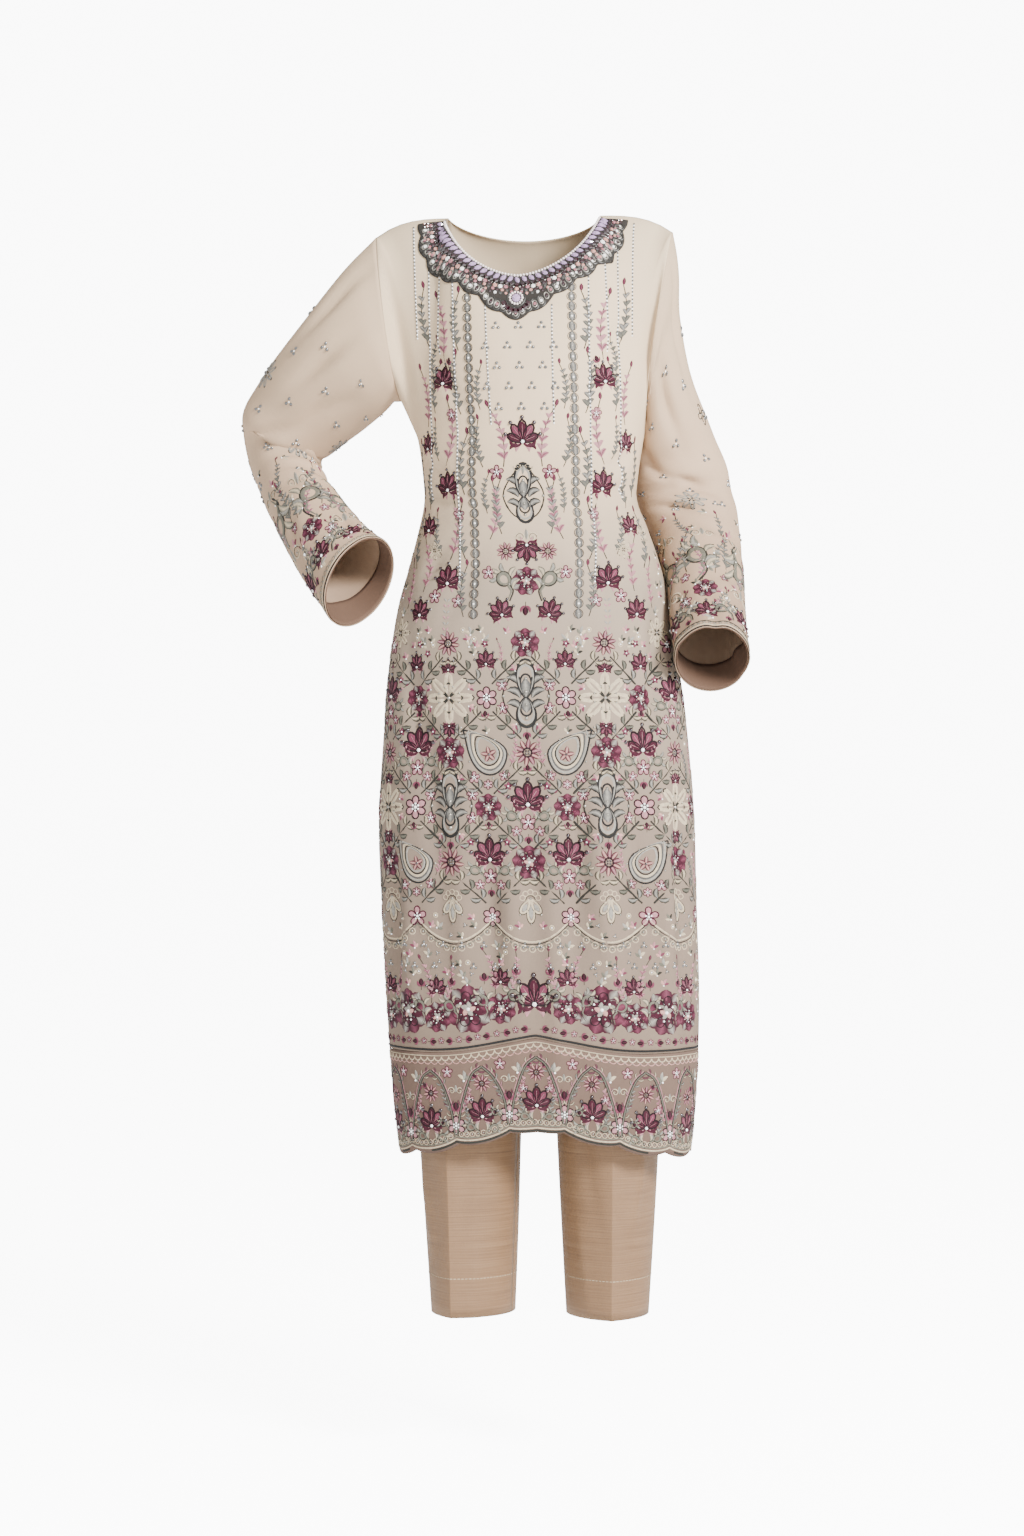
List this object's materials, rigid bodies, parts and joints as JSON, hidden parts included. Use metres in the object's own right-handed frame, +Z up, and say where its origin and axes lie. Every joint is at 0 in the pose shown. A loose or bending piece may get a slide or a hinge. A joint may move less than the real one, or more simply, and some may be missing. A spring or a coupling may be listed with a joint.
{
  "type": "salwar kameez suit",
  "caption": "Hollow worn salwar kameez: long side-slit kameez with round jewelled neck, full sleeves and scalloped border, over straight cropped trousers.",
  "frame": {"origin": "midway between the two points where the shoulder seams meet the neckline, where the wearer's shoulders carry the suit", "axes": "+Z up along the wearer, -Y out of the front, +X towards the wearer's left"},
  "size_m": [0.6153, 0.242, 1.272],
  "materials": {
    "kameez": "embroidered chiffon, soft",
    "border": "densely embroidered organza",
    "sleeve": "chiffon, soft",
    "facing": "matt",
    "trim": "beaded",
    "trousers": "raw silk, slight sheen"
  },
  "bodies": {
    "root": {"yoke_front": "kameez", "yoke_back": "kameez", "kameez_front": "kameez", "kameez_back": "kameez", "border_front": "border", "border_back": "border", "neck_trim": "trim", "sleeve_right": "sleeve", "sleeve_left": "sleeve", "cuff_facing_right": "facing", "cuff_facing_left": "facing", "trouser_front_right": "trousers", "trouser_front_left": "trousers", "trouser_back_right": "trousers", "trouser_back_left": "trousers", "trouser_waistband": "trousers"}
  },
  "joints": []
}
